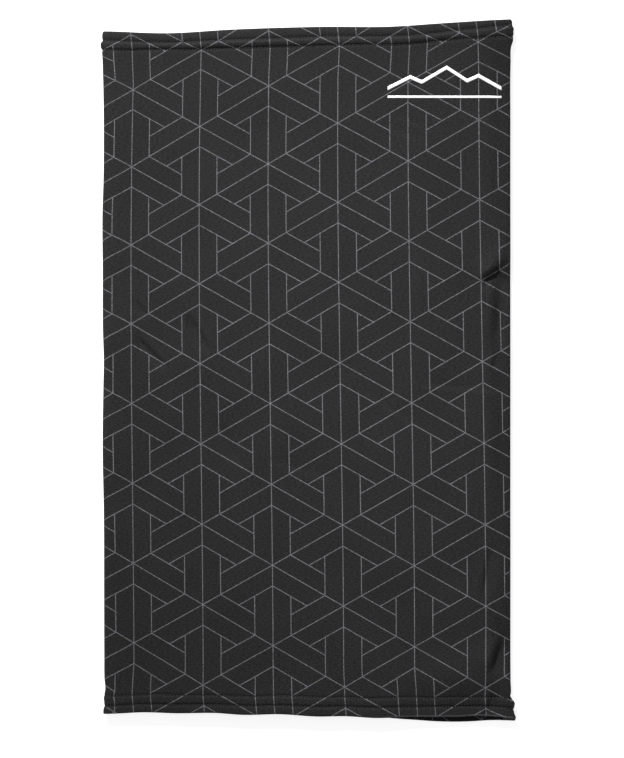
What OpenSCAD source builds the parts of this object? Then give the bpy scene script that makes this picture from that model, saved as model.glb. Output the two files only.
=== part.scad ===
// Neck gaiter: a stretch-knit tube sewn from a front and a back panel, lying flat.
// X runs across the tube, Y along it with the top hem at +Y, and Z up from the face it rests on.

/* [Tube] */
// Width of the flat tube, from one side fold to the other
body_w = 250; // [200:5:300]
// Length along the right side, the longer one
body_l = 432; // [320:2:520]
// How far the top edge falls from the right side to the left
top_fall = 7.5; // [0:0.5:12]
// How far the bottom edge rises from the right side to the left
bottom_rise = 4.5; // [0:0.5:12]
// Height of the flat tube, with the air left between its panels
loft = 8; // [7.5:0.5:12]
// Thickness of one ply of the knit
ply_t = 0.7; // [0.5:0.05:0.8]

/* [Hems] */
// Depth of cloth turned up inside each end
hem_depth = 12; // [12:1:20]
// Distance from the folded edge to the outer stitch row
row_edge = 5.5; // [4:0.1:5.5]
// Distance between the two stitch rows
row_gap = 5.6; // [3.2:0.1:5.6]

/* [Thread] */
// Thickness of the sewing thread where it lies on the cloth
thread_t = 0.25; // [0.15:0.05:0.3]
// Width of one row of needle thread
thread_w = 0.5; // [0.3:0.1:0.8]
// How far the looper thread reaches past the rows it joins
looper_past = 0.6; // [0.3:0.1:0.8]

/* [Side seams] */
// Width of the seam allowances, which lie inside the tube
allowance = 6; // [5:0.5:8]
// Width of the edge that the loopers cover
overlock_w = 4; // [3:0.5:4]

/* [Care label] */
// Width of the label along the left side seam
label_w = 20; // [12:1:30]
// Length of the label that shows inside the tube
label_l = 24; // [15:1:40]
// Thickness of the folded label
label_t = 0.3; // [0.2:0.05:0.4]
// Height of the label's middle above the bottom edge
label_up = 66; // [40:1:120]

/* [Transfer mark] */
// Width of the mark
mark_w = 70; // [40:1:80]
// Height of the mark
mark_h = 18; // [10:1:24]
// Distance from the mark's middle to the right side fold
mark_in = 40.5; // [40:0.5:60]
// Distance from the mark's middle to the top of the right side
mark_down = 39.5; // [30:0.5:80]
// Thickness of the mark's film
mark_t = 0.1; // [0.05:0.05:0.2]

/* [Hidden] */
$fn = 64;

TOP = 1;       // end of the tube at +Y
BOTTOM = -1;   // end of the tube at -Y
LEFT = -1;     // side of the tube at -X
RIGHT = 1;     // side of the tube at +X
FRONT = 1;     // panel that lies on top
BACK = -1;     // panel that the tube rests on

CLEAR = 0.02;                               // gap between a thread and the groove it lies in
raw_x = body_w / 2 - ply_t - allowance;     // raw edge of the seam allowances
needle_x = raw_x + overlock_w + 0.3;        // needle line of the side seams
label_x = raw_x - 1;                        // where the label turns down from its seam
label_y = label_up - body_l / 2;            // middle of the label along the tube

// The mark is a ridge of peaks over a base line, in fractions of its width and height
ridge = [[0, 0], [0.2, 0.45], [0.3, 0.25], [0.52, 0.82], [0.7, 0.3], [0.8, 0.5], [1, 0]];
ridge_t = 0.13;   // thickness of the ridge line
base_gap = 0.3;   // height of the ridge's feet above the bottom of the mark

// Height along Y of either end's folded edge, at a place x across the tube
function edge_y(end, x) = end == TOP
    ? body_l / 2 - top_fall * (0.5 - x / body_w)
    : -body_l / 2 + bottom_rise * (0.5 - x / body_w);

// Slope of either end's folded edge, in degrees
function edge_angle(end) = end == TOP ? atan(top_fall / body_w) : -atan(bottom_rise / body_w);

// Cross-section of the tube's outside, drawn in by an inset
module section(inset) {
    r = loft / 2 - inset;
    square([body_w - loft, 2 * r], center = true);
    for (side = [LEFT, RIGHT])
        translate([side * (body_w - loft) / 2, 0]) circle(r);
}

// Closed ring of the cross-section between two insets
module ring(outer, inner) {
    difference() {
        section(outer);
        section(inner);
    }
}

// Cross-section of one panel, with its two seam allowances, that many plies thick
module panel_section(face, plies) {
    t = plies * ply_t;
    intersection() {
        ring(0, t);
        translate([-body_w, face == FRONT ? 0 : -loft]) square([2 * body_w, loft]);
    }
    for (side = [LEFT, RIGHT])
        translate([side * (raw_x + (allowance + ply_t / 2) / 2), face * t / 2])
            square([allowance + ply_t / 2, t], center = true);
}

// Carries a cross-section along Y for a length, at the tube's mid height
module along(length) {
    translate([0, 0, loft / 2]) rotate([90, 0, 0]) linear_extrude(length, center = true) children();
}

// Block over the plan of the tube, drawn in from both ends by an inset
module plan(inset) {
    x = body_w / 2 + 1;
    translate([0, 0, -1]) linear_extrude(loft + 2)
        polygon([[-x, edge_y(BOTTOM, -x) + inset], [x, edge_y(BOTTOM, x) + inset],
                 [x, edge_y(TOP, x) - inset], [-x, edge_y(TOP, -x) - inset]]);
}

// Places a piece at a distance in from one end's folded edge, in line with that edge
module from_edge(end, distance) {
    slope = edge_angle(end);
    translate([0, edge_y(end, 0) - end * distance / cos(slope), 0]) rotate(slope) children();
}

// One row of needle thread round the tube, or the groove for it with a gap all round
module needle_row(end, distance, gap = 0) {
    from_edge(end, distance) along(thread_w + 2 * gap) ring(-gap, thread_t + gap);
}

// Looper thread inside one hem, a strip on each panel between the side seams
module hem_looper(end) {
    for (face = [FRONT, BACK])
        from_edge(end, row_edge + row_gap / 2)
            translate([0, 0, loft / 2 + face * (loft / 2 - 2 * ply_t - thread_t / 2)])
                cube([2 * (raw_x - 1), row_gap + 2 * looper_past, thread_t], center = true);
}

// Bar on a side seam's allowances, between the hems, from low to high in x and z
module seam_bar(side, x_low, x_high, z_low, z_high) {
    y_low = edge_y(BOTTOM, side * raw_x) + hem_depth + 1;
    y_high = edge_y(TOP, side * raw_x) - hem_depth - 1;
    translate([side == RIGHT ? x_low : -x_high, y_low, z_low])
        cube([x_high - x_low, y_high - y_low, z_high - z_low]);
}

// Looper thread of a side seam: it covers one face of the allowances and half of their raw edge
module seam_looper(side, face) {
    difference() {
        translate([0, 0, loft / 2]) mirror([0, 0, face == FRONT ? 0 : 1]) {
            seam_bar(side, raw_x - thread_t, raw_x + overlock_w, ply_t, ply_t + thread_t);
            seam_bar(side, raw_x - thread_t, raw_x, 0, ply_t + thread_t);
        }
        label_tab(CLEAR);
    }
}

// Needle thread of a side seam, on the upper face of the allowances
module seam_needle(side) {
    z = loft / 2 + ply_t;
    seam_bar(side, needle_x, needle_x + thread_w, z, z + thread_t);
}

// The end of the label that is sewn between the left allowances
module label_tab(gap = 0) {
    translate([-raw_x - overlock_w - gap, label_y - label_w / 2 - gap, (loft - label_t) / 2 - gap])
        cube([overlock_w + 1 + gap, label_w + 2 * gap, label_t + 2 * gap]);
}

// One panel: a single ply, doubled at the hems, with grooves for thread and a slot for the label
module panel(face) {
    difference() {
        union() {
            intersection() {
                along(body_l) panel_section(face, 1);
                plan(0);
            }
            difference() {
                intersection() {
                    along(body_l) panel_section(face, 2);
                    plan(0);
                }
                plan(hem_depth);
            }
        }
        for (end = [TOP, BOTTOM], row = [0, 1]) needle_row(end, row_edge + row * row_gap, CLEAR);
        label_tab(CLEAR);
    }
}

module front_panel() {
    color([0.17, 0.17, 0.175]) panel(FRONT);
}

module back_panel() {
    color([0.15, 0.15, 0.155]) panel(BACK);
}

// Flat film on the front panel
module transfer_mark() {
    low = [for (p = ridge) [p.x * mark_w, (base_gap + p.y) * mark_h * (1 - ridge_t)]];
    high = [for (i = [len(low) - 1:-1:0]) low[i] + [0, ridge_t * mark_h]];
    color("white")
        translate([body_w / 2 - mark_in - mark_w / 2, body_l / 2 - mark_down - mark_h / 2, loft])
            linear_extrude(mark_t) {
                polygon(concat(low, high));
                square([mark_w, ridge_t * mark_h * 0.6]);
            }
}

// Folded satin label: sewn into the left seam, then turned down onto the back panel
module care_label() {
    leaf_z = ply_t + CLEAR;
    color([0.92, 0.92, 0.9]) {
        label_tab();
        translate([-label_x, label_y - label_w / 2, leaf_z]) {
            cube([label_t, label_w, (loft + label_t) / 2 - leaf_z]);
            cube([label_l, label_w, label_t]);
        }
    }
}

module thread_colour() {
    color([0.2, 0.2, 0.21]) children();
}

module top_hem_outer_needle_thread() { thread_colour() needle_row(TOP, row_edge); }
module top_hem_inner_needle_thread() { thread_colour() needle_row(TOP, row_edge + row_gap); }
module top_hem_looper_thread() { thread_colour() hem_looper(TOP); }
module bottom_hem_outer_needle_thread() { thread_colour() needle_row(BOTTOM, row_edge); }
module bottom_hem_inner_needle_thread() { thread_colour() needle_row(BOTTOM, row_edge + row_gap); }
module bottom_hem_looper_thread() { thread_colour() hem_looper(BOTTOM); }
module left_seam_needle_thread() { thread_colour() seam_needle(LEFT); }
module left_seam_upper_looper_thread() { thread_colour() seam_looper(LEFT, FRONT); }
module left_seam_lower_looper_thread() { thread_colour() seam_looper(LEFT, BACK); }
module right_seam_needle_thread() { thread_colour() seam_needle(RIGHT); }
module right_seam_upper_looper_thread() { thread_colour() seam_looper(RIGHT, FRONT); }
module right_seam_lower_looper_thread() { thread_colour() seam_looper(RIGHT, BACK); }

front_panel();
back_panel();
transfer_mark();
care_label();
top_hem_outer_needle_thread();
top_hem_inner_needle_thread();
top_hem_looper_thread();
bottom_hem_outer_needle_thread();
bottom_hem_inner_needle_thread();
bottom_hem_looper_thread();
left_seam_needle_thread();
left_seam_upper_looper_thread();
left_seam_lower_looper_thread();
right_seam_needle_thread();
right_seam_upper_looper_thread();
right_seam_lower_looper_thread();
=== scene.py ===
"""A neck gaiter lying flat: knit panels, stitching, transfer and label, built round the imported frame.

Shapes are worked out in millimetres and turned into metres as each mesh is made. Each panel is one
sheet of cloth. A place on it is (s, w): s runs across the sheet, from the panel's middle round the
side fold and into the seam allowance, and w runs along it, from one turned-up raw edge to the other.
"""
import math

import bpy
import numpy as np
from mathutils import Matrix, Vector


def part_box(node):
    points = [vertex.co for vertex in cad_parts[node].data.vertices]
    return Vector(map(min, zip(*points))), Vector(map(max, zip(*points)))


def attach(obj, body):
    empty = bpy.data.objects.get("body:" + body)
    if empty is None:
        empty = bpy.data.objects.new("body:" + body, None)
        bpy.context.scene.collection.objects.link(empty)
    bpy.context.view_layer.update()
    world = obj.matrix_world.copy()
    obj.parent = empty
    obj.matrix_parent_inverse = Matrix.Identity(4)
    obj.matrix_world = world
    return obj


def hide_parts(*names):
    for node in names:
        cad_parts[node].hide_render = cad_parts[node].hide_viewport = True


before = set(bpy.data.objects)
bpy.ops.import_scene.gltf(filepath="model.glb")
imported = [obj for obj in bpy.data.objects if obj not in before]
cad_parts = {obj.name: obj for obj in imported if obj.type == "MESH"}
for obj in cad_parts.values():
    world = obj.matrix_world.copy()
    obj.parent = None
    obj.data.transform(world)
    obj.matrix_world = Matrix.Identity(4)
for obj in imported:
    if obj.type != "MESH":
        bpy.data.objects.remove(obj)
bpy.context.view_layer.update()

MM = 0.001
FRONT, BACK = 1, -1
LEFT, RIGHT = -1, 1
TOP, BOTTOM = 1, -1

# ---------------------------------------------------------------- sizes, from the frame

_, tube_high = (np.array(c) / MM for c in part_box("front_panel"))
HALF_W = tube_high[0]
HALF_L = tube_high[1]
LOFT = tube_high[2]
MID_Z = LOFT / 2
mark_low, mark_high = (np.array(c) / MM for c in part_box("transfer_mark"))
label_low, label_high = (np.array(c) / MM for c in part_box("care_label"))

# ---------------------------------------------------------------- cloth and hems

PLY = 0.7             # thickness of the knit
TOP_FALL = 7.5        # how far the top edge falls from the right side to the left
BOTTOM_RISE = 4.5     # how far the bottom edge rises from the right side to the left
HEM = 12.0            # depth of cloth turned up inside each end
ROWS = (5.5, 11.1)    # mean distances of the two stitch rows from the folded edge
FOLD_R = 0.45         # radius of the cloth's middle layer round a folded edge
TURN_R = 0.5          # radius at which it turns in at a side seam
ALLOWANCE = 5.9       # width of a seam allowance, past that turn
STITCH = 1.93         # length of one stitch
THREAD_R = 0.18       # radius of the sewing thread
SEAM_GAP = 0.03       # half the gap between the two seam allowances
SIDE_X = {LEFT: 8.0, RIGHT: 9.0}                # how far in from each side the cloth starts to curve down
SIDE_EDGE = HALF_W - PLY / 2                    # middle layer of the cloth at the side
TURN_H = PLY / 2 + SEAM_GAP                     # height of an allowance's middle layer off mid height
LEVEL_H = LOFT / 2 - PLY / 2 - 0.1              # height of a panel's middle layer off mid height
FLAT_L = HALF_L - (TOP_FALL + BOTTOM_RISE) / 4  # half the mean length of the tube
FOLD_W = FLAT_L - FOLD_R                        # where the folded edge starts, along w
FOLD_LENGTH = math.pi * FOLD_R
RAW_W = FOLD_W + FOLD_LENGTH + HEM - FOLD_R     # raw edge of the turned-up cloth, along w

# How far each edge lies from the straight line between its corners: (x, distance along +Y)
EDGE_BOW = {
    (FRONT, TOP): ((-125, 0), (-85, -2.5), (-47, -1.4), (7, -1.4), (50, -2.6), (86, -1.3), (125, 0)),
    (BACK, TOP): ((-125, 0), (-85, -3.4), (-47, -2.4), (7, -2.4), (50, -3.5), (86, -2.3), (125, 0)),
    (FRONT, BOTTOM): ((-125, -0.4), (-115, 0.3), (-103, 1.15), (-80, 1.0), (-56, 1.6), (-40, 0.8),
                      (-17, 1.6), (6, 0.6), (24, 1.1), (42, 0.3), (64, 1.3), (80, 1.5), (94, 1.8),
                      (104, 2.6), (113, 2.5), (119, 1.9), (125, 0.6)),
    (BACK, BOTTOM): ((-125, 0.2), (-63, 2.4), (-39, 1.8), (-17, 2.3), (7, 1.7), (40, 0.9), (55, -0.3),
                     (68, -0.95), (80, -1.55), (90, -1.6), (102, -1.1), (112, -0.3), (118, -0.1),
                     (125, -0.3)),
}

# How far each side stands out from the straight line between its corners: (y, distance out)
SIDE_OUT = {
    LEFT: ((-212, 1.0), (-208.8, 0.7), (-205.1, 0.1), (-201.4, 0.5), (-197.7, -0.3), (-190, 0.2),
           (-178, 0.3), (-142, 0.4), (-86, 0.6), (-49, 1.3), (-12, 0.9), (6, 0.6), (25, 1.15),
           (60, 1.25), (98, 1.4), (117, 0.8), (135, 0.6), (172, 0.85), (191, 1.35), (202, 1.6),
           (209, 1.2)),
    RIGHT: ((-216, 3.5), (-214.4, 3.7), (-212.5, 2.9), (-208.8, 2.5), (-205.1, 2.75), (-203, 1.4),
            (-201.4, 0.3), (-199.6, 0.6), (-192, 0.5), (-170, 0.4), (-100, 0.37), (-30, 0.37),
            (60, 0.37), (150, 0.37), (190, 0.5), (200, 0.9), (203, 1.8), (206, 2.0), (208.5, 1.4),
            (211.8, 1.85), (216, 1.0)),
}

# Where the two rows of each hem lie, nearest the folded edge first: (x, distance from that edge)
ROW_AT = {
    TOP: (((-125, 5.4), (-112, 5.6), (-88, 5.5), (-44, 6.2), (-10, 6.3), (25, 5.5), (50, 5.7),
           (78, 5.7), (94, 4.7), (108, 4.4), (118, 3.7), (125, 3.6)),
          ((-125, 11.2), (-112, 11.1), (-88, 9.8), (-72, 10.5), (-40, 11.5), (-10, 11.7), (12, 11.35),
           (40, 10.6), (56, 11.2), (68, 11.2), (82, 10.5), (94, 10.3), (125, 10.2))),
    BOTTOM: (((-125, 4.4), (-105, 4.65), (-80, 4.95), (-55, 4.95), (-40, 5.25), (-24, 5.1), (10, 5.65),
              (25, 5.65), (50, 6.1), (62, 5.85), (93, 6.1), (105, 5.7), (112, 5.7), (122, 6.1)),
             ((-125, 10.9), (-110, 10.4), (-88, 11.0), (-70, 10.6), (-55, 10.6), (-42, 11.2), (-30, 11.0),
              (5, 11.7), (20, 11.4), (56, 12.0), (80, 11.65), (92, 12.0), (102, 11.4), (111, 11.5),
              (120, 12.1))),
}

SIDE_REACH = (112, 123)    # distances from the middle over which SIDE_OUT sets in
PRESS_REACH = (111, 121)   # the same for SIDE_PRESS

# How far the top hem rolls between its rows: (x, share of the full roll)
TOP_ROLL = ((-125, 0.5), (-105, 0.5), (-80, 0.6), (-55, 1.15), (-40, 1.05), (-26, 1.25), (-10, 0.9),
            (8, 0.6), (25, 0.6), (46, 0.35), (64, 0.95), (82, 0.9), (100, 0.45), (125, 0.35))

# How far each side of the tube is pressed flat: (y, share of its loft)
SIDE_PRESS = {
    LEFT: ((-216, 0.05), (216, 0.05)),
    RIGHT: ((-216, 0.15), (-200, 0.25), (-192, 0.35), (-182, 0.45), (-169, 0.45), (-163, 0.34),
            (-60, 0.34), (-12, 0.34), (6, 0.35), (18, 0.4), (28, 0.46), (40, 0.54), (50, 0.64),
            (55, 0.64), (60, 0.42), (65, 0.16), (70, 0.04), (78, 0.04), (96, 0.18), (150, 0.26),
            (196, 0.22), (216, 0.15)),
}

# Dents and soft creases of the front panel, or ridges where the depth is below zero:
# x, y, length, half width, turn from +Y in degrees, depth
CREASES = (
    (114, 56.5, 13, 3.8, 54, 2.1),
    (114.5, 64.0, 20, 3.6, -124, -1.2),
    (118.2, 38, 36, 4.2, 4, 1.6),
    (117.4, -177, 20, 3.4, 18, 2.1),
    (113.4, -174, 20, 3.2, -158, -0.9),
    (110.6, -124, 28, 2.2, 8, 1.1),
    (115.5, 6, 9, 1.6, 10, 0.9),
    (-96, 11, 23, 2.1, 137, 1.1),
    (-66.4, 22.6, 25, 2.1, 150, 1.1),
    (-47.6, -44, 26, 2.2, 156, 0.7),
    (-102.6, 38.5, 12, 1.8, 140, 0.5),
    (-2, -62, 42, 2.6, -72, 0.25),
    (26, -47, 28, 2.4, -42, 0.28),
    (54, -25, 46, 2.6, -57, 0.25),
    (97, -11, 52, 2.4, -85, 0.28),
    (66, 152, 24, 1.8, -68, 0.25),
    (60, 145, 26, 1.8, -66, 0.22),
    (69.4, 57, 90, 3.2, 0, -0.3),
    (112, -207, 16, 2.6, 20, 0.7),
)


def smoothstep(x, low, high):
    t = np.clip((x - low) / (high - low), 0, 1)
    return t * t * (3 - 2 * t)


def smooth_curve(points, at):
    """The value at each place along a smooth curve through points, and level past its ends."""
    x, y = np.array(points, float).T
    slope = np.gradient(y, x)
    at = np.clip(at, x[0], x[-1])
    i = np.clip(np.searchsorted(x, at) - 1, 0, len(x) - 2)
    span = x[i + 1] - x[i]
    t = (at - x[i]) / span
    rise = (2 * t**3 - 3 * t**2 + 1) * y[i] + (3 * t**2 - 2 * t**3) * y[i + 1]
    return rise + span * ((t**3 - 2 * t**2 + t) * slope[i] + (t**3 - t**2) * slope[i + 1])


def edge_y(face, end, x):
    """Height along Y of a panel's folded edge, at a place across the tube."""
    slope = 0.5 - np.clip(x / HALF_W, -1, 1) / 2
    straight = HALF_L - TOP_FALL * slope if end == TOP else BOTTOM_RISE * slope - HALF_L
    return straight + smooth_curve(EDGE_BOW[face, end], x)


def along_y(face, x, v):
    """Where a thread of the cloth at v, along the tube, lies in Y."""
    top = edge_y(face, TOP, x) - FLAT_L
    bottom = edge_y(face, BOTTOM, x) + FLAT_L
    up = np.clip((v + FLAT_L - 20) / (2 * FLAT_L - 40), 0, 1)
    return v + bottom + (top - bottom) * up


def along_side(curves, s, y):
    """The value at y of the curve for the side of the tube that s is on."""
    return np.where(s < 0, smooth_curve(curves[LEFT], y), smooth_curve(curves[RIGHT], y))


# ---------------------------------------------------------------- the lie of the cloth

WAVE_RISE = 0.0011       # height of a wave in the cloth, as a share of its length
BACK_HEM_RISE = 1.1      # how far the back panel's outer ply is held off the floor at its hems
MOUTH_X, MOUTH_W = 96, 30            # middle and half width of the stretch of bottom hem that gapes
MOUTH_LIFT, MOUTH_FALL = 1.2, 3.4    # how far the cloth above it stands up, and drops to the edge

wave_draw = np.random.default_rng(11)
WAVES = [
    (length, wave_draw.uniform(0, math.pi), wave_draw.uniform(0, 2 * math.pi))
    for length in (210, 150, 120, 96, 74, 61, 50, 43, 36, 30)
]


def waves(x, y):
    """Slow, low waves in the cloth."""
    total = 0
    for length, turn, start in WAVES:
        across = x * math.cos(turn) + y * math.sin(turn)
        total = total + length * np.sin(2 * math.pi * across / length + start)
    return total * WAVE_RISE


STEEP, GENTLE = 0.6, 2.2          # reach of a crease's two walls, in half widths
CREASE_LIP = 0.3                  # height of the lip above its steep wall, as a share of its depth


def crease(x, y, spec):
    """Height of one dent or ridge, steep on one side of its line and gentle on the other."""
    cx, cy, length, width, turn, depth = spec
    angle = math.radians(turn)
    along = (y - cy) * math.cos(angle) + (x - cx) * math.sin(angle)
    across = (x - cx) * math.cos(angle) - (y - cy) * math.sin(angle)
    ends = np.exp(-(2 * along / length) ** 4)
    reach = width * np.where(across < 0, STEEP, GENTLE)
    lip = CREASE_LIP * np.exp(-(((across + 1.3 * width) / (0.8 * width)) ** 2))
    return depth * ends * (lip - np.exp(-((across / reach) ** 2)))


def height(face, x, y):
    """Height of a panel's middle layer off mid height, towards its own outside."""
    level = LEVEL_H + waves(x + 40 * face, y)
    if face == BACK:
        hem = smoothstep(np.abs(y), FLAT_L - 24, FLAT_L - 12)
        return np.minimum(level + 0.1, LOFT / 2 - PLY / 2 - 0.02) - BACK_HEM_RISE * hem
    for spec in CREASES:
        level = level + crease(x, y, spec)
    mouth = np.exp(-(((x - MOUTH_X) / MOUTH_W) ** 2)) * smoothstep(-y, FLAT_L - 50, FLAT_L - 24)
    return level + mouth * (MOUTH_LIFT - MOUTH_FALL * smoothstep(-y, FLAT_L - 25, FLAT_L - 1))


def fold_length(side):
    """Lengths of the side fold's curve and the angle round it, as two matching lists."""
    angle = np.linspace(0, math.pi / 2, 60)
    steps = np.hypot(np.diff(SIDE_X[side] * np.sin(angle)),
                     np.diff((LEVEL_H - TURN_H - TURN_R) * np.cos(angle)))
    return np.concatenate([[0], np.cumsum(steps)]), angle


SIDE_CURVE = {side: fold_length(side) for side in (LEFT, RIGHT)}
FLAT_S = {side: SIDE_EDGE - SIDE_X[side] for side in (LEFT, RIGHT)}
TURN_S = {side: FLAT_S[side] + SIDE_CURVE[side][0][-1] for side in (LEFT, RIGHT)}
ALLOW_S = {side: TURN_S[side] + TURN_R * math.pi / 2 for side in (LEFT, RIGHT)}
RAW_S = {side: ALLOW_S[side] + ALLOWANCE for side in (LEFT, RIGHT)}


def by_side(values, s):
    """The value for the side of the tube that s is on."""
    return np.where(s < 0, values[LEFT], values[RIGHT])


def across_sheet(s, inset):
    """Distance from the middle, share of the height over the turn, and height at the turn, at s."""
    q = np.abs(s)
    angle = np.where(
        s < 0,
        np.interp(q - FLAT_S[LEFT], *SIDE_CURVE[LEFT]),
        np.interp(q - FLAT_S[RIGHT], *SIDE_CURVE[RIGHT]),
    )
    past_turn = q - by_side(ALLOW_S, s)
    turn = np.clip((q - by_side(TURN_S, s)) / TURN_R, 0, math.pi / 2)
    curve = by_side(FLAT_S, s) + (by_side(SIDE_X, s) - inset) * np.sin(angle)
    out = np.where(q < by_side(FLAT_S, s), q, curve)
    out = out - TURN_R * (1 - np.cos(turn)) - np.clip(past_turn, 0, None)
    return out, np.cos(angle), TURN_H + inset + TURN_R * (1 - np.sin(turn))


def layer(w):
    """At w: the place along the tube, how far inside the outer ply, and how far past the fold's start."""
    past = np.abs(w) - FOLD_W
    angle = np.clip(past / FOLD_R, 0, math.pi)
    v = np.where(past < FOLD_LENGTH, np.minimum(np.abs(w), FOLD_W), FOLD_W - (past - FOLD_LENGTH))
    return np.sign(w) * v, FOLD_R * (1 - np.cos(angle)), np.sign(w) * FOLD_R * np.sin(angle)


def base_point(face, s, w):
    """A place on the cloth's middle layer, before the stitching shapes it."""
    v, inset, past = layer(w)
    out, share, turn_h = across_sheet(s, inset)
    y = along_y(face, np.sign(s) * out, v) + past
    x = np.sign(s) * (out + along_side(SIDE_OUT, s, y) * smoothstep(out, *SIDE_REACH))
    press = along_side(SIDE_PRESS, s, y) * smoothstep(out, *PRESS_REACH)
    rise = (height(face, x, y) - TURN_H - TURN_R - 2 * inset) * share
    z = MID_Z - press * (LEVEL_H - TURN_H - TURN_R) + face * (turn_h + rise * (1 - press))
    return np.stack([x, y, z], axis=-1)


def base_normal(face, s, w):
    """Outward normal of the printed face, so it points into the tube where the cloth is turned up."""
    eps = 0.04
    ds = base_point(face, s + eps, w) - base_point(face, s - eps, w)
    dw = base_point(face, s, w + eps) - base_point(face, s, w - eps)
    normal = np.cross(ds, dw) * face
    return normal / np.linalg.norm(normal, axis=-1, keepdims=True)


# ---------------------------------------------------------------- what the stitching does to the cloth

LIFT = {TOP: 1.3, BOTTOM: 0.3}      # how far the cloth stands up between the two rows
STEP = {TOP: 0.25, BOTTOM: 0.1}     # how far it still stands above the single ply at the inner row
SETTLE = 14                         # length over which it comes down from there
LIP = {TOP: 0.22, BOTTOM: 0.05}     # how far the cloth swells between the folded edge and the outer row
CREST = 0.36                        # where between the rows the cloth stands highest, as a share
GROOVE = {TOP: (0.6, 0.55), BOTTOM: (0.72, 0.72)}    # how far each row pulls the outer ply in
GROOVE_W = 0.55                     # half width of that groove
PUCKER = 0.16                       # how far a stitch hole pulls in the cloth on both sides of it
HEM_PUSH = 0.22                     # how far the stitching pushes the reverse of the outer ply inwards


def hem_places(s, w, end):
    """Distance from a folded edge, and places of its two rows, at (s, w)."""
    first, second = (smooth_curve(row, s) for row in ROW_AT[end])
    return FLAT_L - np.abs(w), first, second


def outside(w, end):
    """True on the outer ply of one half of the sheet."""
    return (np.sign(w) == end) & (np.abs(w) < FOLD_W)


def hem_bulge(face, s, w):
    """How far the stitching lifts or lowers the whole sheet, along its normal."""
    total = 0 * s * w
    for end in (TOP, BOTTOM):
        d, first, second = hem_places(s, w, end)
        roll = smooth_curve(TOP_ROLL, s) if (face, end) == (FRONT, TOP) else 0.5
        lift, step = LIFT[end] * (0.45 + 0.55 * roll), STEP[end]
        band = np.clip((d - first) / (second - first), 0, 1)
        rise = np.sin(math.pi / 2 * np.clip(band / CREST, 0, 1))
        fall = np.clip((band - CREST) / (1 - CREST), 0, 1) ** (4.6 - 2.4 * roll)
        settled = np.clip((d - second) / SETTLE, 0, 1)
        lip = LIP[end] * np.sin(math.pi * np.clip(d / first, 0, 1))
        shape = np.where(d > second, step * (1 - settled) ** 3, lift * rise - (lift - step) * fall)
        total = total + np.where(outside(w, end), shape + lip, 0)
    return total


def stitch_groove(face, s, w):
    """How far the stitches press the outer face in, along its normal."""
    total = 0 * s * w
    for end in (TOP, BOTTOM):
        d, *rows = hem_places(s, w, end)
        for row, depth in zip(rows, GROOVE[end]):
            hole = 0.5 + 0.5 * np.cos(2 * math.pi * s / STITCH)
            press = depth * (0.3 + 0.7 * hole) * np.exp(-(((d - row) / GROOVE_W) ** 2))
            pucker = PUCKER * hole * np.exp(-(((np.abs(d - row) - 1.0) / 0.6) ** 2))
            total = total + np.where(outside(w, end), press + pucker, 0)
    return total


def sheet_point(face, s, w, lift=0.0):
    """A place on the cloth's middle layer, or that far towards its printed face."""
    normal = base_normal(face, s, w)
    bulge = hem_bulge(face, s, w) + lift
    return base_point(face, s, w) + normal * np.asarray(bulge)[..., None]


def printed_face(face, s, w, lift=0.0):
    """A place on the printed face, or that far above it."""
    return sheet_point(face, s, w, PLY / 2 + lift - stitch_groove(face, s, w))


def reverse_face(face, s, w):
    """A place on the reverse of the cloth, which the stitching pushes inwards over the whole hem."""
    d = FLAT_L - np.abs(w)
    stitched = smoothstep(d, 2, 4) * smoothstep(-d, -15, -13)
    return sheet_point(face, s, w, -PLY / 2 - HEM_PUSH * stitched)


# ---------------------------------------------------------------- the print, in fabric coordinates

def star_coordinates(face, s, y):
    """Column and star numbers of the printed lattice, which the knit stretches unevenly."""
    x, y = face * s / HALF_W, y / HALF_L
    column = 2.536 + 2.881 * x + 0.078 * y
    column = column - 0.043 * x**2 + 0.032 * x * y - 0.020 * y**2
    column = column + 0.010 * x**3 - 0.015 * x**2 * y + 0.034 * x * y**2 - 0.050 * y**3
    star = -3.585 - 0.014 * x + 4.341 * y
    star = star - 0.008 * x**2 - 0.062 * x * y + 0.044 * y**2
    star = star + 0.016 * x**2 * y - 0.010 * x * y**2 + 0.049 * y**3
    return column, star


def cloth_y(face, s, w):
    """Place along the cloth, as if the turned-up parts were laid out flat."""
    v = np.clip(w, -FOLD_W, FOLD_W)
    return along_y(face, np.clip(s, -HALF_W, HALF_W), v) + (w - v)


# How the cut cloth drifts across before it is hemmed: (x, distance along +X)
DRIFT = {
    TOP: ((-125, -1.4), (-107, -1.2), (-65, 0), (19, 0.6), (62, 0.8), (106, -0.4), (125, -0.4)),
    BOTTOM: ((-125, -1.4), (-107, -1.2), (-85, -0.5), (-44, 0), (20, 0.7), (55, 1.2), (75, 1.2),
             (104, -0.2)),
}
TWIST = {TOP: -1.35, BOTTOM: 0.9}    # how far each folded edge is twisted across its hem
TAKE_UP = 0.65                       # length of cloth hidden in the full roll of the top hem
EASE = 0.5                           # how far the print is eased along the cloth at each hem


def hem_drift(face, s, w):
    """How far the hemming moved the print at (s, w), across and along the cloth."""
    across, along = 0 * s * w, 0 * s * w
    for end in (TOP, BOTTOM):
        d, first, second = hem_places(s, w, end)
        near = smoothstep(-d, -34, -10) * (np.sign(w) == end)
        twist = TWIST[end] * np.clip(1 - d / second, 0, 2) * (np.sign(w) == end)
        across = across + smooth_curve(DRIFT[end], s) * near + twist
        hidden = TAKE_UP * smooth_curve(TOP_ROLL, s) * smoothstep(-d, -second, -first - 2.5)
        along = along + np.where(end == TOP, hidden, 0) * (np.sign(w) == end) + EASE * near
    return across, along


# ---------------------------------------------------------------- meshes

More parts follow.
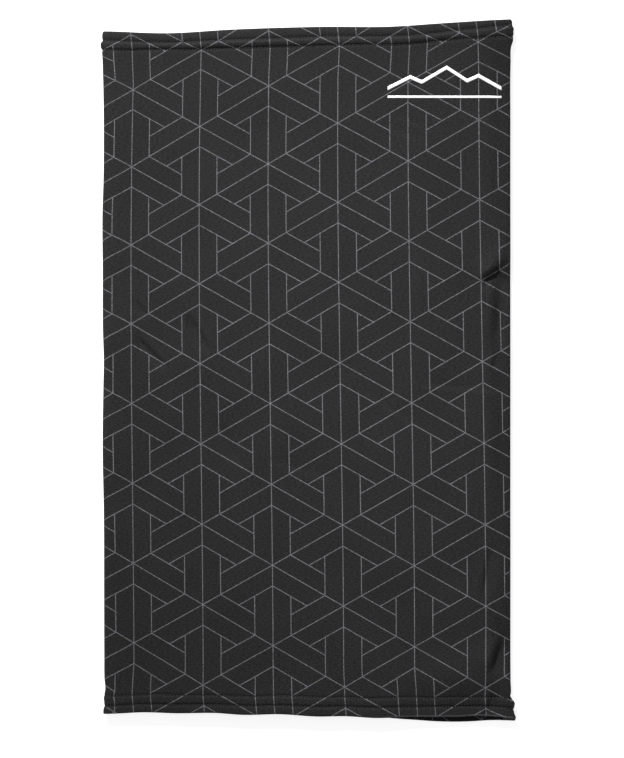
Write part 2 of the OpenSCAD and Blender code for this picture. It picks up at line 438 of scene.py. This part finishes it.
def make_object(name, points, faces, materials, face_material=None):
    """A smooth-shaded mesh from points in millimetres and a list of triangles and quads."""
    mesh = bpy.data.meshes.new(name)
    mesh.from_pydata((np.asarray(points) * MM).tolist(), [], faces)
    for material in materials:
        mesh.materials.append(material)
    if face_material is not None:
        mesh.polygons.foreach_set("material_index", face_material)
    mesh.polygons.foreach_set("use_smooth", [True] * len(mesh.polygons))
    mesh.update()
    piece = bpy.data.objects.new(name, mesh)
    bpy.context.scene.collection.objects.link(piece)
    return piece


def flipped(faces):
    """The same faces, turned over."""
    return [f[::-1] for f in faces]


def joined(parts):
    """Points and faces of several shapes, as one list of each."""
    points, faces, first = [], [], 0
    for part_points, part_faces in parts:
        points.append(part_points)
        faces += [tuple(first + k for k in f) for f in part_faces]
        first += len(part_points)
    return np.concatenate(points), faces


def plate_faces(rows, width):
    """Faces of a closed plate: a grid of points in rows of that width, the same grid over it, and
    the rim between them."""
    grid = [(r * width + c, r * width + c + 1, (r + 1) * width + c + 1, (r + 1) * width + c)
            for r in range(rows - 1) for c in range(width - 1)]
    top = rows * width
    rim = [r * width + c for r, c in
           [(0, c) for c in range(width - 1)] + [(r, width - 1) for r in range(rows - 1)]
           + [(rows - 1, c) for c in range(width - 1, 0, -1)] + [(r, 0) for r in range(rows - 1, 0, -1)]]
    wall = [(a, b, b + top, a + top) for a, b in zip(rim, rim[1:] + rim[:1])]
    return flipped(grid) + [tuple(k + top for k in f) for f in grid] + wall


def zip_rows(low, low_at, high, high_at):
    """Faces between two rows of points: quads where they match, and triangles where one is finer."""
    if len(low) == len(high):
        return [(low[i], low[i + 1], high[i + 1], high[i]) for i in range(len(low) - 1)]
    faces, i, j = [], 0, 0
    while i < len(low) - 1 or j < len(high) - 1:
        step_low = j == len(high) - 1 or (i < len(low) - 1 and low_at[i + 1] <= high_at[j + 1])
        if step_low:
            faces.append((low[i], low[i + 1], high[j]))
            i += 1
        else:
            faces.append((low[i], high[j + 1], high[j]))
            j += 1
    return faces


def spread(low, high, step):
    """Evenly spaced places from low up to, but not with, high."""
    count = max(1, round((high - low) / step))
    return np.linspace(low, high, count, endpoint=False)


def columns(step):
    """Places across the sheet, close together round the side folds and turns."""
    half = {}
    for side in (LEFT, RIGHT):
        curve = min(step, 1.0)
        half[side] = np.concatenate([
            spread(0, FLAT_S[side], step),
            spread(FLAT_S[side], TURN_S[side], curve),
            spread(TURN_S[side], ALLOW_S[side], 0.2),
            spread(ALLOW_S[side], RAW_S[side], 1.5),
            [RAW_S[side]],
        ])
    return np.concatenate([-half[LEFT][:0:-1], half[RIGHT]])


# Row spacings in the body, beside the stitches, among them and past the fold, and then the column
# spacings in the body, beside the stitches and among them
DETAIL = {
    "front print": ((1.25, 0.8, 0.42, 1.5), (1.25, 0.9, 0.48)),
    "back print": ((2.0, 0.8, 0.42, 1.5), (2.0, 0.9, 0.48)),
    "reverse": ((3.0, 1.6, 0.8, 3.0), (2.6, 2.6, 2.6)),
}


def sheet_rows(detail):
    """Places along the sheet and the column spacing of each, from the middle to the top raw edge."""
    (body, hem, stitches, turn), (coarse_step, hem_step, stitch_step) = DETAIL[detail]
    inner = FLAT_L - ROWS[1] - 2.4
    outer = FLAT_L - ROWS[0] + 1.6
    parts = [
        (spread(0, inner - 8, body), coarse_step),
        (spread(inner - 8, inner, hem), hem_step),
        (spread(inner, outer, stitches), stitch_step),
        (spread(outer, FOLD_W, hem), hem_step),
        (spread(FOLD_W, FOLD_W + FOLD_LENGTH, FOLD_LENGTH / 8), hem_step),
        (spread(FOLD_W + FOLD_LENGTH, RAW_W, turn), coarse_step),
        (np.array([RAW_W]), coarse_step),
    ]
    return [(w, step) for places, step in parts for w in places]


def skin(face, make, detail, first):
    """One side of a panel's sheet: its points, their places on the cloth, its faces, and each row."""
    half = sheet_rows(detail)
    rows = [(-w, step) for w, step in half[:0:-1]] + half
    across = {step: columns(step) for _, step in rows}
    points, places, faces, lines = [], [], [], []
    below = None
    for w, step in rows:
        s = across[step]
        along = np.full_like(s, w)
        points.append(make(face, s, along))
        places.append(np.stack([s, along], axis=-1))
        here = list(range(first, first + len(s)))
        first += len(s)
        if below is not None:
            faces += zip_rows(below[0], below[1], here, s)
        below = here, s
        lines.append(here)
    return np.concatenate(points), np.concatenate(places), faces, lines


def raw_edges(outer_lines, inner_lines, places):
    """Faces that close the sheet along its four raw edges."""
    s, w = places.T
    edges = []
    for column, turned in ((0, True), (-1, False)):
        low = [line[column] for line in outer_lines]
        high = [line[column] for line in inner_lines]
        side = zip_rows(low, w[low], high, w[high])
        edges += flipped(side) if turned else side
    for row, turned in ((0, False), (-1, True)):
        low, high = outer_lines[row], inner_lines[row]
        end = zip_rows(low, s[low], high, s[high])
        edges += flipped(end) if turned else end
    return edges


def map_fabric(piece, face, places):
    """UV maps for the print, the knit and the folded edge, from each point's place on the cloth."""
    s, w = places.T
    across, along = hem_drift(face, s, w)
    s, y = s - across, cloth_y(face, s, w) + along
    add_uv(piece, "print", np.stack(star_coordinates(face, s, y), axis=-1))
    add_uv(piece, "grain", np.stack([s, y], axis=-1) * MM)
    add_uv(piece, "fold", np.stack([s, -w - FOLD_W], axis=-1))


def cloth_panel(face, name, materials):
    """A panel's closed sheet: its fine printed side, its coarser reverse, and its raw edges."""
    detail = "front print" if face == FRONT else "back print"
    outer, outer_at, outer_faces, outer_lines = skin(face, printed_face, detail, 0)
    inner, inner_at, inner_faces, inner_lines = skin(face, reverse_face, "reverse", len(outer))
    places = np.concatenate([outer_at, inner_at])
    edges = raw_edges(outer_lines, inner_lines, places)
    faces = outer_faces + flipped(inner_faces) + flipped(edges)
    kinds = [0] * len(outer_faces) + [1] * (len(inner_faces) + len(edges))
    if face == BACK:
        faces = flipped(faces)
    piece = make_object(name, np.concatenate([outer, inner]), faces, materials, kinds)
    map_fabric(piece, face, places)
    return piece


def add_uv(piece, name, values):
    """A UV map with one value for each point of the mesh."""
    mesh = piece.data
    corner = np.empty(len(mesh.loops), np.int32)
    mesh.loops.foreach_get("vertex_index", corner)
    mesh.uv_layers.new(name=name).data.foreach_set("uv", values[corner].ravel())


def tube(path, radius, sides=6, closed=False):
    """Points and faces of a round thread along a path."""
    path = np.asarray(path)
    ahead = np.roll(path, -1, 0) - np.roll(path, 1, 0)
    if not closed:
        ahead[0], ahead[-1] = path[1] - path[0], path[-1] - path[-2]
    ahead /= np.linalg.norm(ahead, axis=1, keepdims=True)
    lean = np.where(np.abs(ahead[:, 2:]) < 0.9, [[0.0, 0.0, 1.0]], [[1.0, 0.0, 0.0]])
    across = np.cross(ahead, lean)
    across /= np.linalg.norm(across, axis=1, keepdims=True)
    up = np.cross(across, ahead)
    for i in range(1, len(path)):
        side = across[i - 1] - ahead[i] * (across[i - 1] @ ahead[i])
        across[i] = side / np.linalg.norm(side)
        up[i] = np.cross(across[i], ahead[i])
    turn = 2 * math.pi * np.arange(sides) / sides
    ring = across[:, None] * np.cos(turn)[:, None] + up[:, None] * np.sin(turn)[:, None]
    points = (path[:, None] + radius * ring).reshape(-1, 3)
    count = len(path)
    faces = [
        (i * sides + j, i * sides + (j + 1) % sides,
         (i + 1) % count * sides + (j + 1) % sides, (i + 1) % count * sides + j)
        for i in range(count if closed else count - 1)
        for j in range(sides)
    ]
    if not closed:
        faces += [tuple(range(sides))[::-1], tuple((count - 1) * sides + j for j in range(sides))]
    return points, flipped(faces)


def thread_piece(name, tubes, node):
    """One piece of thread from several tubes, standing for a thread node of the frame."""
    piece = make_object(name, *joined(tubes), [thread_material])
    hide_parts(node)
    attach(piece, "root")
    return piece


# ---------------------------------------------------------------- stitching

LOOPER_S = 114        # how far from the middle a hem's looper thread reaches
SEAM_BITE = 4.15      # how far in from the raw edges the overlock's loops reach
SEAM_OVER = 0.35      # how far they stand out past those edges
NEEDLE_IN = 4.4       # distance of a side seam's needle thread from the raw edges


def needle_row(name, end, row, node):
    """Needle thread of one hem row, over the cloth from hole to hole, right round the tube."""
    loop = []
    for face in (FRONT, BACK):
        reach = [side * (TURN_S[side] + 0.3) for side in (LEFT, RIGHT)]
        s = np.arange(reach[0], reach[1], STITCH / 8)
        w = end * (FLAT_L - smooth_curve(ROW_AT[end][row], s))
        hole = np.cos(math.pi * s / STITCH) ** 16
        path = printed_face(face, s, w, THREAD_R - 0.02 - 0.45 * hole)
        loop.append(path if face == FRONT else path[::-1])
    return thread_piece(name, [tube(np.concatenate(loop), THREAD_R, 6, closed=True)], node)


def hem_looper(name, end, node):
    """Looper thread inside a hem: loops that cross between the rows, on the turned-up cloth."""
    tubes = []
    for face in (FRONT, BACK):
        last = 2 * math.pi * LOOPER_S / STITCH
        phase = np.arange(-last, last, math.pi / 6)
        s = STITCH * phase / (2 * math.pi) + 0.55 * np.sin(2 * phase)
        d = (ROWS[0] + ROWS[1]) / 2 + (ROWS[1] - ROWS[0] + 0.5) / 2 * np.sin(phase)
        w = end * (FOLD_W + FOLD_LENGTH + d - FOLD_R)
        lift = PLY / 2 + THREAD_R * (0.9 + 0.5 * np.cos(phase))
        tubes.append(tube(sheet_point(face, s, w, lift), THREAD_R * 0.9, 5))
    return thread_piece(name, tubes, node)


def seam_places(per_stitch):
    """Places along a side seam between the hems, that many for each stitch."""
    reach = FLAT_L - HEM - 1.5
    return np.arange(-reach, reach, STITCH / per_stitch)


def allowance_point(face, side, from_raw, w, lift):
    """A place over the inner face of a seam allowance, at a distance from its raw edge."""
    s = side * (RAW_S[side] - from_raw)
    return sheet_point(face, s, w, -(PLY / 2 + lift))


def seam_looper(name, side, face, node):
    """Looper thread of a side seam: it crosses one face of the allowances and turns over their edge."""
    w = seam_places(10)
    phase = 2 * math.pi * w / STITCH
    from_raw = (SEAM_BITE - SEAM_OVER) / 2 - (SEAM_BITE + SEAM_OVER) / 2 * np.cos(phase)
    wrap = smoothstep(-from_raw, -0.25, 0.3)
    lift = THREAD_R - wrap * (PLY / 2 + THREAD_R)
    path = allowance_point(face, side, from_raw, w + 0.35 * np.sin(2 * phase), lift)
    return thread_piece(name, [tube(path, THREAD_R * 0.9, 5)], node)


def seam_needle(name, side, node):
    """Needle thread of a side seam, in short straight stitches along the allowance."""
    w = seam_places(6)
    hole = np.cos(math.pi * w / STITCH) ** 8
    path = allowance_point(FRONT, side, np.full_like(w, NEEDLE_IN), w, THREAD_R - 0.3 * hole)
    return thread_piece(name, [tube(path, THREAD_R, 5)], node)


# ---------------------------------------------------------------- transfer and label

RIDGE = ((0, 0), (0.2, 0.45), (0.3, 0.25), (0.52, 0.82), (0.7, 0.3), (0.8, 0.5), (1, 0))
RIDGE_T = 0.13         # thickness of the ridge line, as a share of the mark's height
BASE_GAP = 0.3         # height of the ridge's feet, as a share of the mark's height
BASE_T = 0.6           # thickness of the base bar, as a share of the ridge line's
RIDGE_HEIGHT = 18.0    # height of the mark
FILM_T = 0.09          # thickness of the film
FILM_LIFT = 0.01       # gap under it


def on_front(x, y):
    """The sheet's (s, w) under a place on the flat of the front panel."""
    w = y
    for _ in range(4):
        w = w + y - along_y(FRONT, x, w)
    return x, w


def film_strip(x, y_low, y_high):
    """A strip of film between two lines, laid on the cloth, as closed points and faces."""
    rows = 5
    share = np.linspace(0, 1, rows)[:, None]
    s, w = on_front(np.tile(x, (rows, 1)), y_low + (y_high - y_low) * share)
    layers = [printed_face(FRONT, s, w, lift).reshape(-1, 3) for lift in (FILM_LIFT, FILM_LIFT + FILM_T)]
    return np.concatenate(layers), plate_faces(rows, len(x))


def transfer_film():
    """White film: a generic line of peaks over a base bar, following the cloth under it."""
    width, tall = mark_high[0] - mark_low[0], RIDGE_HEIGHT
    peaks = np.array(RIDGE)
    x = np.unique(np.concatenate([np.linspace(0, 1, 90), peaks[:, 0]]))
    low = (BASE_GAP + np.interp(x, *peaks.T)) * tall * (1 - RIDGE_T)
    lines = [
        (low, low + RIDGE_T * tall),
        (np.zeros_like(x), np.full_like(x, RIDGE_T * tall * BASE_T)),
    ]
    across, foot = mark_low[0] + x * width, mark_low[1]
    strips = [film_strip(across, foot + bottom, foot + top) for bottom, top in lines]
    piece = make_object("transfer_film", *joined(strips), [film_material])
    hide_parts("transfer_mark")
    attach(piece, "root")
    return piece


LABEL_PLY = 0.12     # thickness of the satin ribbon
LABEL_GAP = 0.03     # gap between its two layers


def label_line():
    """The ribbon's own line in X and Z: out along its upper layer, round the fold and back."""
    rest = PLY + 0.55
    run = ((label_low[0], MID_Z), (-119, MID_Z), (-117, MID_Z - 0.25), (-113.5, rest + 1.2),
           (-110, rest + 0.25), (-105, rest + 0.02), (label_high[0] - 1, rest + 0.25))
    apart = LABEL_PLY + LABEL_GAP
    x = np.linspace(run[0][0], run[-1][0], 60)
    z = smooth_curve(run, x)
    bend = np.linspace(0.2, math.pi - 0.2, 5)
    return np.concatenate([
        np.stack([x, z + apart / 2], 1),
        np.stack([x[-1] + 0.16 * np.sin(bend), z[-1] + 0.5 * apart * np.cos(bend)], 1),
        np.stack([x, z - apart / 2], 1)[::-1],
    ])


def satin_label():
    """Folded ribbon: sewn between the left allowances, it bends down and lies on the back panel."""
    line = label_line()
    step = np.gradient(line, axis=0)
    normal = np.stack([-step[:, 1], step[:, 0]], 1)
    normal /= np.linalg.norm(normal, axis=1, keepdims=True)
    y = np.linspace(label_low[1] + 0.5, label_high[1] - 0.5, 9)
    layers = []
    for side in (1, -1):
        flat = line + side * normal * LABEL_PLY / 2
        layers += [(p[0], q, p[1]) for p in flat for q in y]
    piece = make_object("satin_label", layers, flipped(plate_faces(len(line), len(y))), [satin_material])
    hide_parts("care_label")
    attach(piece, "root")
    return piece


# ---------------------------------------------------------------- materials

def new_material(name):
    """A node material, and its node tree and shader."""
    material = bpy.data.materials.new(name)
    material.use_nodes = True
    tree = material.node_tree
    return material, tree, tree.nodes["Principled BSDF"]


def put(tree, socket, value):
    """Links a socket to another, or sets its plain value."""
    if isinstance(value, bpy.types.NodeSocket):
        tree.links.new(value, socket)
    else:
        socket.default_value = value


def maths(tree, operation, *values):
    node = tree.nodes.new("ShaderNodeMath")
    node.operation = operation
    for socket, value in zip(node.inputs, values):
        put(tree, socket, value)
    return node.outputs[0]


def ramp(tree, value, from_low, from_high, to_low=0.0, to_high=1.0, smooth=True):
    node = tree.nodes.new("ShaderNodeMapRange")
    node.interpolation_type = "SMOOTHSTEP" if smooth else "LINEAR"
    for socket, number in zip(node.inputs, (value, from_low, from_high, to_low, to_high)):
        put(tree, socket, number)
    return node.outputs[0]


def mix_colour(tree, share, first, second, blend="MIX"):
    node = tree.nodes.new("ShaderNodeMix")
    node.data_type = "RGBA"
    node.blend_type = blend
    put(tree, node.inputs["Factor"], share)
    put(tree, node.inputs["A"], first)
    put(tree, node.inputs["B"], second)
    return node.outputs["Result"]


def noise(tree, vector, scale, detail=2.0, roughness=0.5):
    node = tree.nodes.new("ShaderNodeTexNoise")
    put(tree, node.inputs["Vector"], vector)
    node.inputs["Scale"].default_value = scale
    node.inputs["Detail"].default_value = detail
    node.inputs["Roughness"].default_value = roughness
    return node.outputs["Fac"]


def uv_parts(tree, name):
    """A UV map's vector and its two numbers."""
    uv = tree.nodes.new("ShaderNodeUVMap")
    uv.uv_map = name
    split = tree.nodes.new("ShaderNodeSeparateXYZ")
    tree.links.new(uv.outputs[0], split.inputs[0])
    return uv.outputs[0], split.outputs[0], split.outputs[1]


def bump(tree, shader, height_socket, distance, strength=1.0):
    node = tree.nodes.new("ShaderNodeBump")
    node.inputs["Strength"].default_value = strength
    node.inputs["Distance"].default_value = distance
    tree.links.new(height_socket, node.inputs["Height"])
    tree.links.new(node.outputs[0], shader.inputs["Normal"])


COLUMN_MM, STAR_MM = 43.3, 49.5    # spacing of the printed columns, and of the stars along one
PINWHEEL = 0.2575                  # where an inner line meets a triangle's side, as a share of it
LINE_HALF = 0.25                   # half the width of a printed line, in millimetres
LINE_SOFT = 0.09                   # how far its edge bleeds into the knit


def printed_lines(tree):
    """How much a place is covered by the printed lines. Stars stand on a triangular lattice with all
    neighbours joined, and each triangle between three stars holds three more lines that turn round its
    middle."""
    _, column, star = uv_parts(tree, "print")
    half = maths(tree, "MULTIPLY", column, 0.5)
    falling = maths(tree, "FRACT", maths(tree, "ADD", star, half))
    rising = maths(tree, "FRACT", maths(tree, "SUBTRACT", star, half))
    high = maths(tree, "MAXIMUM", falling, rising)
    low = maths(tree, "MINIMUM", falling, rising)
    slant_mm = 1 / math.hypot(1 / STAR_MM, 0.5 / COLUMN_MM)
    upright = maths(tree, "SUBTRACT", high, low)
    upper = maths(tree, "SUBTRACT", 1.0, high)
    sides = ((upright, COLUMN_MM), (upper, slant_mm), (low, slant_mm))
    limits = (low, upright, upper)
    nearest = None
    for (share, tall), limit in zip(sides, limits):
        side = maths(tree, "MULTIPLY", share, tall)
        away = maths(tree, "ABSOLUTE", maths(tree, "SUBTRACT", share, PINWHEEL))
        inner = maths(tree, "MULTIPLY", away, tall)
        beyond = maths(tree, "GREATER_THAN", limit, 1 - 2 * PINWHEEL)
        inner = maths(tree, "ADD", inner, maths(tree, "MULTIPLY", beyond, 9.0))
        both = maths(tree, "MINIMUM", side, inner)
        nearest = both if nearest is None else maths(tree, "MINIMUM", nearest, both)
    return ramp(tree, nearest, LINE_HALF + LINE_SOFT, LINE_HALF - LINE_SOFT)


WALE, COURSE = 0.00072, 0.00055    # spacing of the knit's columns and rows of loops, in metres


def knit_height(tree):
    """Height of jersey knit: upright ribs, each a column of V-shaped loops."""
    vector, across, along = uv_parts(tree, "grain")
    wale = maths(tree, "PINGPONG", maths(tree, "DIVIDE", across, WALE), 0.5)
    rib = maths(tree, "SINE", maths(tree, "MULTIPLY", wale, math.pi * 2))
    leg = maths(tree, "ADD", maths(tree, "DIVIDE", along, COURSE), maths(tree, "MULTIPLY", wale, 1.6))
    loop = maths(tree, "SINE", maths(tree, "MULTIPLY", leg, math.pi * 2))
    loops = maths(tree, "MULTIPLY_ADD", loop, 0.35, 0.5)
    return vector, maths(tree, "ADD", maths(tree, "MULTIPLY", rib, 0.45), loops)


def stretched(tree, vector, scale):
    """A vector with each of its parts scaled."""
    node = tree.nodes.new("ShaderNodeVectorMath")
    node.operation = "MULTIPLY"
    tree.links.new(vector, node.inputs[0])
    node.inputs[1].default_value = scale
    return node.outputs[0]


def cloth_tone(tree, vector, knit):
    """Slight unevenness of the dye and the shade between loops, about 1."""
    broad = ramp(tree, noise(tree, vector, 28.0, 3.0), 0.3, 0.7, 0.94, 1.06, smooth=False)
    streaks = ramp(tree, noise(tree, stretched(tree, vector, (0.4, 1, 1)), 1500.0, 2.0),
                   0.3, 0.7, 0.5, 1.5, smooth=False)
    loops = ramp(tree, knit, 0.0, 1.3, 0.85, 1.12, smooth=False)
    return maths(tree, "MULTIPLY", maths(tree, "MULTIPLY", broad, streaks), loops)


def tinted(tree, tone, colour):
    """A colour made lighter or darker by a tone about 1."""
    node = tree.nodes.new("ShaderNodeVectorMath")
    node.operation = "SCALE"
    node.inputs[0].default_value = colour
    tree.links.new(tone, node.inputs["Scale"])
    return node.outputs[0]


def set_cloth(shader, roughness, specular, sheen):
    shader.inputs["Roughness"].default_value = roughness
    shader.inputs["Specular IOR Level"].default_value = specular
    shader.inputs["Sheen Weight"].default_value = sheen
    shader.inputs["Sheen Roughness"].default_value = 0.5
    shader.inputs["Sheen Tint"].default_value = (0.8, 0.82, 0.9, 1)


DYE = (0.0142, 0.0142, 0.0147)     # colour of the knit
INK_AND_FOLD_HIGHLIGHT = (0.118, 0.118, 0.127)        # colour of the printed lines, also of the painted highlight along the bottom fold


def painted_fold_highlight(tree):
    """Painted highlight: how much pale light is painted along the sharp fold of the bottom hem, near its
    open corner.
    """
    _, across, past = uv_parts(tree, "fold")
    line = maths(tree, "MULTIPLY", ramp(tree, past, -0.5, -0.1), ramp(tree, past, 0.7, 0.3))
    return maths(tree, "MULTIPLY", line, ramp(tree, across, 30.0, 70.0, 0.0, 0.4))


def printed_knit():
    """The outside of the cloth: dark knit with the printed lattice, and a painted highlight along the
    bottom fold.
    """
    material, tree, shader = new_material("printed_knit")
    vector, knit = knit_height(tree)
    tone = cloth_tone(tree, vector, knit)
    lines = printed_lines(tree)
    wear = ramp(tree, noise(tree, vector, 900.0, 2.0), 0.3, 0.7, 0.86, 1.0, smooth=False)
    # share of the ink's colour: the printed lines, and the painted highlight along the bottom fold
    ink_and_fold_highlight = maths(tree, "MULTIPLY", maths(tree, "MAXIMUM", lines, painted_fold_highlight(tree)), wear)
    colour = mix_colour(tree, ink_and_fold_highlight, tinted(tree, tone, DYE), tinted(tree, tone, INK_AND_FOLD_HIGHLIGHT))
    tree.links.new(colour, shader.inputs["Base Color"])
    set_cloth(shader, 0.65, 0.1, 0.0)
    bump(tree, shader, knit, 0.00012, 0.6)
    return material


def knit_reverse():
    """The inside of the cloth: the same knit, plain and darker; part of that darkness is painted shade
    for the inside of the gaping mouth.
    """
    material, tree, shader = new_material("knit_reverse")
    vector, knit = knit_height(tree)
    tone = cloth_tone(tree, vector, knit)
    # the plain knit's own dark colour, lowered further as painted shade for the hollow inside the mouth
    tree.links.new(tinted(tree, tone, (0.012, 0.012, 0.0124)), shader.inputs["Base Color"])
    set_cloth(shader, 0.95, 0.1, 0.1)
    bump(tree, shader, knit, 0.00016, 0.7)
    return material


def object_place(tree):
    return tree.nodes.new("ShaderNodeTexCoord").outputs["Object"]


def twisted_thread():
    """Spun polyester: fine slanting plies and a soft gloss."""
    material, tree, shader = new_material("twisted_thread")
    place = object_place(tree)
    wave = tree.nodes.new("ShaderNodeTexWave")
    wave.bands_direction = "DIAGONAL"
    tree.links.new(place, wave.inputs["Vector"])
    wave.inputs["Scale"].default_value = 700.0
    wave.inputs["Distortion"].default_value = 1.5
    tone = ramp(tree, wave.outputs["Fac"], 0.0, 1.0, 0.8, 1.15, smooth=False)
    tree.links.new(tinted(tree, tone, (0.015, 0.015, 0.0155)), shader.inputs["Base Color"])
    set_cloth(shader, 0.55, 0.3, 0.1)
    bump(tree, shader, wave.outputs["Fac"], 0.00005, 0.6)
    return material


def white_film():
    """Heat-pressed film: matt white, with the knit just showing through as a fine grain."""
    material, tree, shader = new_material("white_film")
    place = object_place(tree)
    grain = noise(tree, place, 1500.0, 2.0)
    tone = ramp(tree, noise(tree, place, 120.0), 0.3, 0.7, 0.97, 1.0, smooth=False)
    tree.links.new(tinted(tree, tone, (0.87, 0.87, 0.87)), shader.inputs["Base Color"])
    tree.links.new(ramp(tree, grain, 0.3, 0.7, 0.42, 0.55, smooth=False), shader.inputs["Roughness"])
    bump(tree, shader, grain, 0.00003, 0.5)
    return material


def satin():
    """Woven satin ribbon: long floats across it and a bright soft sheen."""
    material, tree, shader = new_material("satin")
    place = object_place(tree)
    wave = tree.nodes.new("ShaderNodeTexWave")
    wave.bands_direction = "Y"
    tree.links.new(place, wave.inputs["Vector"])
    wave.inputs["Scale"].default_value = 900.0
    wave.inputs["Distortion"].default_value = 0.6
    tone = ramp(tree, wave.outputs["Fac"], 0.0, 1.0, 0.92, 1.0, smooth=False)
    tree.links.new(tinted(tree, tone, (0.8, 0.8, 0.77)), shader.inputs["Base Color"])
    shader.inputs["Roughness"].default_value = 0.38
    shader.inputs["Sheen Weight"].default_value = 0.3
    bump(tree, shader, wave.outputs["Fac"], 0.00003, 0.5)
    return material


def pale_floor():
    material, tree, shader = new_material("pale_floor")
    tone = ramp(tree, noise(tree, object_place(tree), 3.0), 0.3, 0.7, 0.99, 1.0, smooth=False)
    tree.links.new(tinted(tree, tone, (0.6, 0.6, 0.6)), shader.inputs["Base Color"])
    tree.links.new(tinted(tree, tone, (1, 1, 1)), shader.inputs["Emission Color"])
    shader.inputs["Emission Strength"].default_value = 0.8
    shader.inputs["Roughness"].default_value = 0.8
    shader.inputs["Specular IOR Level"].default_value = 0.1
    return material


print_material = printed_knit()
reverse_material = knit_reverse()
thread_material = twisted_thread()
film_material = white_film()
satin_material = satin()

# ---------------------------------------------------------------- the pieces

front = cloth_panel(FRONT, "front_cloth", [print_material, reverse_material])
back = cloth_panel(BACK, "back_cloth", [print_material, reverse_material])
for piece, node in ((front, "front_panel"), (back, "back_panel")):
    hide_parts(node)
    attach(piece, "root")

for end, word in ((TOP, "top"), (BOTTOM, "bottom")):
    for row, place in ((0, "outer"), (1, "inner")):
        node = f"{word}_hem_{place}_needle_thread"
        needle_row(f"{word}_{place}_stitches", end, row, node)
    hem_looper(f"{word}_looper_stitches", end, f"{word}_hem_looper_thread")

seam_threads = []
for side, word in ((LEFT, "left"), (RIGHT, "right")):
    seam_threads += [
        seam_needle(f"{word}_seam_stitches", side, f"{word}_seam_needle_thread"),
        seam_looper(f"{word}_upper_loops", side, FRONT, f"{word}_seam_upper_looper_thread"),
        seam_looper(f"{word}_lower_loops", side, BACK, f"{word}_seam_lower_looper_thread"),
    ]

film = transfer_film()
label = satin_label()

# ---------------------------------------------------------------- floor, light and camera

def floor():
    """A pale tabletop, far wider than the view."""
    size = 4.0
    corners = [(-size, -size, 0), (size, -size, 0), (size, size, 0), (-size, size, 0)]
    mesh = bpy.data.meshes.new("floor")
    mesh.from_pydata(corners, [], [(0, 1, 2, 3)])
    mesh.materials.append(pale_floor())
    ground = bpy.data.objects.new("floor", mesh)
    bpy.context.scene.collection.objects.link(ground)


def soft_light(name, place, target, size, power):
    """A square soft box that faces a place on the gaiter."""
    lamp = bpy.data.lights.new(name, "AREA")
    lamp.size = size
    lamp.energy = power
    lamp.spread = math.radians(28)
    holder = bpy.data.objects.new(name, lamp)
    holder.location = place
    aim = np.subtract(target, place) / np.linalg.norm(np.subtract(target, place))
    yaw = math.atan2(aim[1], aim[0]) - math.pi / 2
    holder.rotation_euler = (math.acos(-aim[2]), 0, yaw)
    bpy.context.scene.collection.objects.link(holder)


def studio():
    """Soft light from all round, and a key light over the top hem."""
    world = bpy.data.worlds.new("studio")
    world.use_nodes = True
    sky = world.node_tree.nodes["Background"]
    sky.inputs["Color"].default_value = (1, 1, 1, 1)
    sky.inputs["Strength"].default_value = 0.3
    bpy.context.scene.world = world
    soft_light("key", (-0.6, 1.56, 1.25), (0.035, 0, 0), 0.25, 2.45)


def overhead_camera():
    """Straight down from two metres, with the gaiter a little left of and above the middle."""
    view_width, view_height = 0.3843, 2.0
    data = bpy.data.cameras.new("camera")
    data.sensor_fit = "HORIZONTAL"
    data.sensor_width = 36.0
    data.lens = 36.0 * (view_height - LOFT * MM) / view_width
    holder = bpy.data.objects.new("camera", data)
    holder.location = (0.0029, -0.0056, view_height)
    bpy.context.scene.collection.objects.link(holder)
    bpy.context.scene.camera = holder


floor()
studio()
overhead_camera()
bpy.context.scene.view_settings.view_transform = "Standard"
